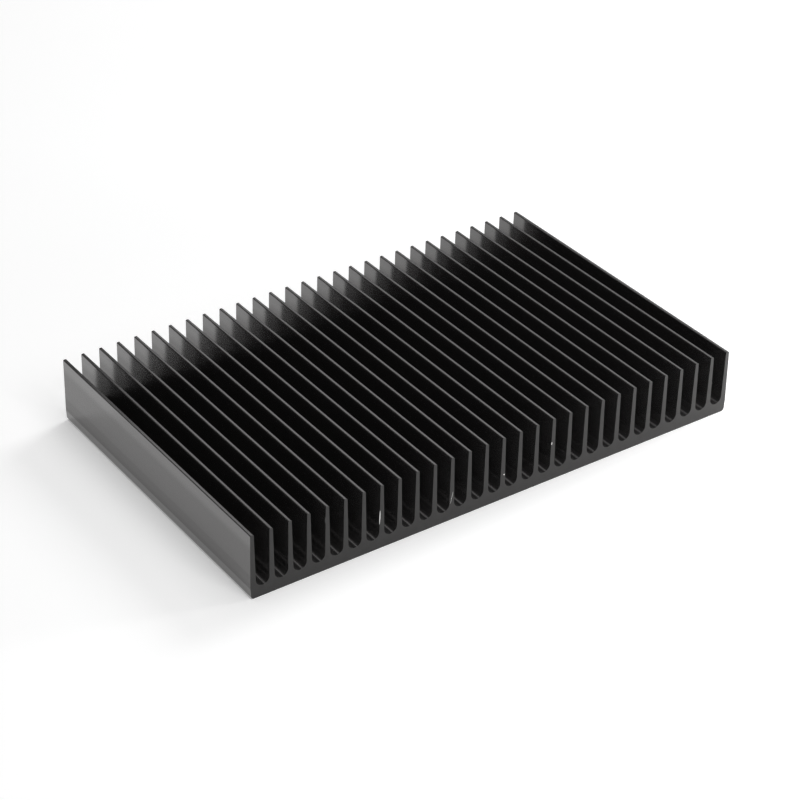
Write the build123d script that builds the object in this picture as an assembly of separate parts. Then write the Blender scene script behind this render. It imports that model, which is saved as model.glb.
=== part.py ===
from build123d import *

import math
import os

# Aluminium heat sink, extruded in one piece: a flat base that carries a comb of thin tapered
# fins, with grooves that end in a full round, sawn to length across the fins and anodised.
# Sizes are in millimetres. The origin is the middle of the underside. X runs across the
# fins, Y along them, which is the way the metal left the die, and Z up to the fin tips.

# Overall size
width = 160.0
length = 100.0
height = 20.0

# Fins: the pitch is the same all the way across, and each side of a fin leans by the draft.
fin_count = 29
fin_pitch = 5.65
fin_tip_thickness = 1.0
fin_draft = 1.1
tip_edge_radius = 0.3

# Base: its two long sides draw in towards the underside, whose edges are rounded.
base_thickness = 3.4
base_side_relief = 0.2
bottom_edge_radius = 1.0


def groove_section():
    """One groove between two fins, open at the tips, with its middle on X = 0."""
    draft = math.radians(fin_draft)
    mouth_half = (fin_pitch - fin_tip_thickness) / 2
    depth = height - base_thickness
    # The largest round that touches both leaning sides and the top of the base
    radius = (mouth_half * math.cos(draft) - depth * math.sin(draft)) / (1 - math.sin(draft))
    side_x = radius * math.cos(draft)
    side_z = base_thickness + radius - radius * math.sin(draft)
    floor = ThreePointArc((-side_x, side_z), (0, base_thickness), (side_x, side_z))
    sides = Polyline(
        (side_x, side_z), (mouth_half, height), (-mouth_half, height), (-side_x, side_z)
    )
    return make_face([floor, sides])


def blank_section():
    """The outline of the whole comb before its grooves: base sides and outer fin faces."""
    lean = (height - base_thickness) * math.tan(math.radians(fin_draft))
    widest = width / 2
    outline = Polyline(
        (-widest + base_side_relief, 0),
        (widest - base_side_relief, 0),
        (widest, base_thickness),
        (widest - lean, height),
        (-widest + lean, height),
        (-widest, base_thickness),
        close=True,
    )
    blank = make_face(outline)
    return fillet(blank.vertices().group_by(Axis.Y)[0], bottom_edge_radius)


def comb_section():
    """The section that the die gives: the blank less one groove between each two fins."""
    groove_count = fin_count - 1
    first_groove = -(groove_count - 1) / 2 * fin_pitch
    groove = groove_section()
    comb = blank_section()
    for number in range(groove_count):
        comb -= Pos(first_groove + number * fin_pitch, 0) * groove
    return fillet(comb.vertices().group_by(Axis.Y)[-1], tip_edge_radius)


def heat_sink():
    """The comb drawn out along Y, half of its length each way from the origin."""
    return extrude(Plane.XZ * comb_section(), length / 2, both=True)


os.makedirs("parts", exist_ok=True)
export_step(heat_sink(), "parts/heat_sink.step")
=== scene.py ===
import math

import bpy
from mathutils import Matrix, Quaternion, Vector


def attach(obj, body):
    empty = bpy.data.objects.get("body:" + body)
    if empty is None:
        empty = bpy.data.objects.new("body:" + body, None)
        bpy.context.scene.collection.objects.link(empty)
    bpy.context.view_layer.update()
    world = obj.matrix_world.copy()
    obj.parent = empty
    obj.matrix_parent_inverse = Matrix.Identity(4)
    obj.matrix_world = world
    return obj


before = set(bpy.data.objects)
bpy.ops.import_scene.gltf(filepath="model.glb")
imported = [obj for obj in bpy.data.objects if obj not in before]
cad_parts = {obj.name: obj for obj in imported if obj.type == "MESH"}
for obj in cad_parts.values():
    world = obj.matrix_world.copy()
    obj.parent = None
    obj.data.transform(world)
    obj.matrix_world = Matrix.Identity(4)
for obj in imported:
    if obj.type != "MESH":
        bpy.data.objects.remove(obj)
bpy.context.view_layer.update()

# Camera: a long lens that looks down on the block from its left front corner, as the product
# photograph does. Its place and angle were worked out from the fins' edges in the picture.
MM = 0.001
PHOTO_SIZE = 800
FOCAL_PIXELS = 2305.3
SENSOR_WIDTH = 36.0
NEAREST = 10.0 * MM
AZIMUTH = math.radians(-35.149)
ELEVATION = math.radians(32.976)
ROLL = math.radians(0.880)
DISTANCE = 667.82 * MM
LOOKS_AT = Vector((5.087, 6.045, 0.0)) * MM

towards_camera = Vector((
    math.sin(AZIMUTH) * math.cos(ELEVATION),
    -math.cos(AZIMUTH) * math.cos(ELEVATION),
    math.sin(ELEVATION),
))
camera_data = bpy.data.cameras.new("photo_camera")
camera_data.sensor_width = SENSOR_WIDTH
camera_data.lens = FOCAL_PIXELS / PHOTO_SIZE * SENSOR_WIDTH
camera_data.clip_start = NEAREST
camera = bpy.data.objects.new("photo_camera", camera_data)
camera.location = LOOKS_AT + towards_camera * DISTANCE
aim = (-towards_camera).to_track_quat("-Z", "Y") @ Quaternion((0, 0, 1), ROLL)
camera.rotation_euler = aim.to_euler()
bpy.context.collection.objects.link(camera)
bpy.context.scene.camera = camera
bpy.context.scene.view_settings.view_transform = "Standard"

# Table: a sheet of white paper under the block. It glows a little as well as being lit, so the
# block's shadow on it stays light, and far from the block it is plain white.
TABLE_SIZE = 6.0
TABLE_BELOW = 0.02 * MM
WHITE = (1.0, 1.0, 1.0, 1.0)
PAPER_WHITE = (0.9, 0.9, 0.9, 1.0)
PAPER_GLOW = 0.25
LIT_RADIUS = 0.22
WHITE_RADIUS = 0.90


class Signal:
    """One socket of a node tree. Sums written on it add Math nodes, and node() adds any other."""

    def __init__(self, tree, socket=None):
        self.tree = tree
        self.socket = socket

    def node(self, kind, settings=None, inputs=None, output=0):
        """A new node: its settings first, then its sockets' values or links."""
        made = self.tree.nodes.new(kind)
        for name, value in (settings or {}).items():
            setattr(made, name, value)
        for name, value in (inputs or {}).items():
            if isinstance(value, Signal):
                self.tree.links.new(value.socket, made.inputs[name])
            else:
                made.inputs[name].default_value = value
        return Signal(self.tree, made.outputs[output]) if made.outputs else made

    def sibling(self, name):
        """Another output of the node that this socket is on."""
        return Signal(self.tree, self.socket.node.outputs[name])

    def math(self, operation, first, second=0.0):
        return self.node("ShaderNodeMath", {"operation": operation}, {0: first, 1: second})

    def __add__(self, other):
        return self.math("ADD", self, other)

    def __radd__(self, other):
        return self.math("ADD", other, self)

    def __sub__(self, other):
        return self.math("SUBTRACT", self, other)

    def __rsub__(self, other):
        return self.math("SUBTRACT", other, self)

    def __mul__(self, other):
        return self.math("MULTIPLY", self, other)

    def __rmul__(self, other):
        return self.math("MULTIPLY", other, self)

    def __abs__(self):
        return self.math("ABSOLUTE", self)

    def __gt__(self, other):
        return self.math("GREATER_THAN", self, other)


def new_finish(name):
    """A new material and its empty node tree, which comes as a Signal."""
    material = bpy.data.materials.new(name)
    material.use_nodes = True
    tree = material.node_tree
    tree.nodes.clear()
    return material, Signal(tree)


bpy.ops.object.select_all(action="DESELECT")
bpy.ops.mesh.primitive_plane_add(size=TABLE_SIZE, location=(0, 0, -TABLE_BELOW))
table = bpy.context.object
table.name = "white_table"
paper, finish = new_finish("white_paper")
matt = finish.node("ShaderNodeBsdfDiffuse", inputs={"Color": PAPER_WHITE})
glow = finish.node("ShaderNodeEmission", inputs={"Color": WHITE, "Strength": PAPER_GLOW})
near = finish.node("ShaderNodeAddShader", inputs={0: matt, 1: glow})
far = finish.node("ShaderNodeEmission", inputs={"Color": WHITE, "Strength": 1.0})
place = finish.node("ShaderNodeTexCoord").sibling("Object")
from_block = finish.node("ShaderNodeVectorMath", {"operation": "LENGTH"}, {0: place}, "Value")
whiteness = finish.node("ShaderNodeMapRange", {"interpolation_type": "SMOOTHSTEP"}, {
    "Value": from_block, "From Min": LIT_RADIUS, "From Max": WHITE_RADIUS})
sheet = finish.node("ShaderNodeMixShader", inputs={0: whiteness, 1: near, 2: far})
finish.node("ShaderNodeOutputMaterial", inputs={"Surface": sheet})
table.data.materials.append(paper)

# Backdrop: four low white screens, one beyond each edge of the table. The camera and all that
# shines see them white, and they give the block no other light.
SCREEN_DISTANCE = 2.9
SCREEN_WIDTH = 1.5
SCREEN_HEIGHT = 0.66
QUARTER_TURN = math.radians(90.0)

screen_white, finish = new_finish("white_screen")
ray = finish.node("ShaderNodeLightPath")
seen = (ray.sibling("Is Camera Ray") + ray.sibling("Is Glossy Ray")
        + ray.sibling("Is Transmission Ray"))
light = finish.node("ShaderNodeEmission", inputs={"Color": WHITE, "Strength": seen})
finish.node("ShaderNodeOutputMaterial", inputs={"Surface": light})
for side in range(4):
    heading = side * QUARTER_TURN
    bpy.ops.object.select_all(action="DESELECT")
    bpy.ops.mesh.primitive_plane_add(
        size=1.0, rotation=(QUARTER_TURN, 0.0, heading),
        location=(-math.sin(heading) * SCREEN_DISTANCE, math.cos(heading) * SCREEN_DISTANCE,
                  SCREEN_HEIGHT / 2))
    screen = bpy.context.object
    screen.name = "white_screen"
    screen.scale = (SCREEN_WIDTH, SCREEN_HEIGHT, 1.0)
    screen.data.materials.append(screen_white)

# Studio: a dim room with soft boxes. A wide one hangs over the block, a broad panel in two parts
# stands behind it on the right, and smaller ones stand at the far end, on the right and in front.
ROOM_LIGHT = 0.10


def soft_box(name, centre, width, height, power):
    """A rectangular lamp that faces the block. Its sizes and place are in millimetres."""
    data = bpy.data.lights.new(name, "AREA")
    data.shape = "RECTANGLE"
    data.size = width * MM
    data.size_y = height * MM
    data.energy = power
    lamp = bpy.data.objects.new(name, data)
    lamp.location = Vector(centre) * MM
    lamp.rotation_euler = (-lamp.location).to_track_quat("-Z", "Y").to_euler()
    bpy.context.collection.objects.link(lamp)


world = bpy.data.worlds.new("dim_room")
bpy.context.scene.world = world
world.use_nodes = True
world.node_tree.nodes.clear()
air = Signal(world.node_tree)
room = air.node("ShaderNodeBackground", inputs={"Color": WHITE, "Strength": ROOM_LIGHT})
air.node("ShaderNodeOutputWorld", inputs={"Surface": room})

soft_box("over_box", (0, 0, 1100), 1400, 1400, 6.40)
soft_box("back_panel", (537, 576, 616), 605, 140, 0.293)
soft_box("panel_strip", (588, 630, 508), 660, 122, 0.170)
soft_box("far_box", (0, 682, 731), 270, 246, 0.200)
soft_box("right_box", (745, 257, 616), 364, 353, 3.20)
soft_box("front_panel", (0, -600, 500), 300, 300, 1.86)
soft_box("low_front_box", (190, -130, 40), 40, 40, 0.290)

# Heat sink: one aluminium extrusion, black anodised all over after it was sawn to length. Its
# long faces are satin, with the die's fine lines and broad bands that shine a little more or
# less, partly real and partly painted shade low on the section, and its sawn ends are duller.
HALF_LENGTH = 50.0 * MM
SAWN_DEPTH = 0.02 * MM
BUMP_DEPTH = 0.02 * MM
NOISE_ROUGHNESS = 0.6

SATIN_COLOUR = (0.025, 0.024, 0.024, 1.0)
SATIN_ROUGHNESS = 0.17
SATIN_IOR = 1.65
WARM_SHINE = (1.0, 0.965, 0.95, 1.0)
DIE_LINE_SCALE = (3000.0, 8.0, 3000.0)
DIE_LINE_BUMP = 0.03
DIE_LINE_SHINE = 0.10

DULL_COLOUR = (0.0145, 0.0135, 0.013, 1.0)
DULL_ROUGHNESS = 0.5
DULL_IOR = 1.5
PATCH_SCALE = 500.0
PATCH_CHANGE = 0.25
GRAIN_SCALE = 4000.0
GRAIN_BUMP = 0.2

# How much the film shines at the foot of the base, and how that changes up the section. The
# changes are partly real bands in the film and partly painted shade: the dimmer shine low on
# the section stands for the table's shadow seen in reflection there. Each change is the height
# where it starts, the height where it ends, and its amount.
FOOT_SHINE = 0.46
SHINE_AND_PAINTED_SHADE_STEPS = (
    (3.1, 3.6, -0.41),
    (4.3, 5.3, 0.10),
    (7.2, 8.0, 0.15),
    (15.0, 17.8, 0.40),
)

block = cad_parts["heat_sink"]
anodised, finish = new_finish("black_anodised")
place = finish.node("ShaderNodeTexCoord").sibling("Object")
y = finish.node("ShaderNodeSeparateXYZ", inputs={0: place}).sibling("Y")
z = y.sibling("Z")
sawn = abs(y) > HALF_LENGTH - SAWN_DEPTH

die_place = finish.node("ShaderNodeMapping", inputs={"Vector": place, "Scale": DIE_LINE_SCALE})
die_lines = finish.node("ShaderNodeTexNoise", inputs={
    "Vector": die_place, "Scale": 1.0, "Detail": 2.0, "Roughness": NOISE_ROUGHNESS})
die_bump = finish.node("ShaderNodeBump", inputs={
    "Strength": DIE_LINE_BUMP, "Distance": BUMP_DEPTH, "Height": die_lines})

# Painted shade: the coat's shine is set by height, dimmer low on the section where the table's
# shadow would show in reflection, on top of the die's real lines and bands.
shine_and_painted_shade = FOOT_SHINE + (die_lines - 0.5) * DIE_LINE_SHINE
for start, end, amount in SHINE_AND_PAINTED_SHADE_STEPS:
    step = finish.node("ShaderNodeMapRange", {"interpolation_type": "SMOOTHSTEP"}, {
        "Value": z, "From Min": start * MM, "From Max": end * MM, "To Max": amount})
    shine_and_painted_shade = shine_and_painted_shade + step
satin = finish.node("ShaderNodeBsdfPrincipled", inputs={
    "Base Color": SATIN_COLOUR, "Roughness": SATIN_ROUGHNESS, "IOR": SATIN_IOR,
    "Specular Tint": WARM_SHINE, "Coat Weight": shine_and_painted_shade, "Coat Roughness": SATIN_ROUGHNESS,
    "Normal": die_bump})

grain = finish.node("ShaderNodeTexNoise", inputs={
    "Vector": place, "Scale": GRAIN_SCALE, "Detail": 2.0, "Roughness": NOISE_ROUGHNESS})
grain_bump = finish.node("ShaderNodeBump", inputs={
    "Strength": GRAIN_BUMP, "Distance": BUMP_DEPTH, "Height": grain})
patches = finish.node("ShaderNodeTexNoise", inputs={
    "Vector": place, "Scale": PATCH_SCALE, "Detail": 3.0, "Roughness": NOISE_ROUGHNESS})
dull = finish.node("ShaderNodeBsdfPrincipled", inputs={
    "Base Color": DULL_COLOUR, "Roughness": DULL_ROUGHNESS + (patches - 0.5) * PATCH_CHANGE,
    "IOR": DULL_IOR, "Normal": grain_bump})
surface = finish.node("ShaderNodeMixShader", inputs={0: sawn, 1: satin, 2: dull})
finish.node("ShaderNodeOutputMaterial", inputs={"Surface": surface})
for slot in block.material_slots:
    slot.material = anodised

# Burrs: where the saw left a fin's end it raised a few small burrs. Four have lost their black
# film and show bright metal, the longest one on the eighth fin, and two are still black.
FIN_PITCH = 5.65
MIDDLE_FIN = 14
BURR_UNEVENNESS = 0.06
BARE_COLOUR = (0.8, 0.79, 0.78, 1.0)
BARE_ROUGHNESS = 0.25
SCUFF_SCALE = 9000.0
SCUFF_CHANGE = 0.3

bare, finish = new_finish("bare_metal")
place = finish.node("ShaderNodeTexCoord").sibling("Object")
scuffs = finish.node("ShaderNodeTexNoise", inputs={
    "Vector": place, "Scale": SCUFF_SCALE, "Detail": 2.0, "Roughness": NOISE_ROUGHNESS})
metal = finish.node("ShaderNodeBsdfPrincipled", inputs={
    "Base Color": BARE_COLOUR, "Metallic": 1.0,
    "Roughness": BARE_ROUGHNESS + scuffs * SCUFF_CHANGE})
finish.node("ShaderNodeOutputMaterial", inputs={"Surface": metal})


def burr(name, material, fin, aside, height, half_width, half_depth, half_height, lean):
    """A small smooth lump on one fin's near end. It lies so far beside the fin's middle, at that
    height, and its top leans to the right by some degrees. Its sizes are in millimetres."""
    bpy.ops.object.select_all(action="DESELECT")
    bpy.ops.mesh.primitive_uv_sphere_add(segments=20, ring_count=14, radius=1.0)
    lump = bpy.context.object
    lump.name = name
    bpy.ops.object.mode_set(mode="EDIT")
    bpy.ops.mesh.select_all(action="SELECT")
    bpy.ops.transform.vertex_random(offset=BURR_UNEVENNESS, seed=fin)
    bpy.ops.transform.resize(value=(half_width * MM, half_depth * MM, half_height * MM),
                             center_override=(0, 0, 0))
    bpy.ops.transform.rotate(value=-math.radians(lean), orient_axis="Y", center_override=(0, 0, 0))
    bpy.ops.transform.translate(value=(
        ((fin - MIDDLE_FIN) * FIN_PITCH + aside) * MM, -HALF_LENGTH, height * MM))
    bpy.ops.object.mode_set(mode="OBJECT")
    bpy.ops.object.shade_smooth()
    lump.data.materials.append(material)
    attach(lump, "root")


burr("long_sliver", bare, 7, -0.67, 10.0, 0.13, 0.06, 2.2, 2.7)
burr("foot_scrape", bare, 11, -0.07, 7.2, 0.05, 0.03, 1.9, 12.0)
burr("round_speck", bare, 14, 0.38, 8.0, 0.19, 0.06, 0.19, 0.0)
burr("tall_speck", bare, 17, -0.50, 12.1, 0.16, 0.05, 0.45, 0.0)
burr("left_burr", anodised, 4, -0.60, 15.9, 0.22, 0.05, 0.9, 0.0)
burr("right_burr", anodised, 27, 0.62, 11.3, 0.16, 0.05, 0.5, 0.0)
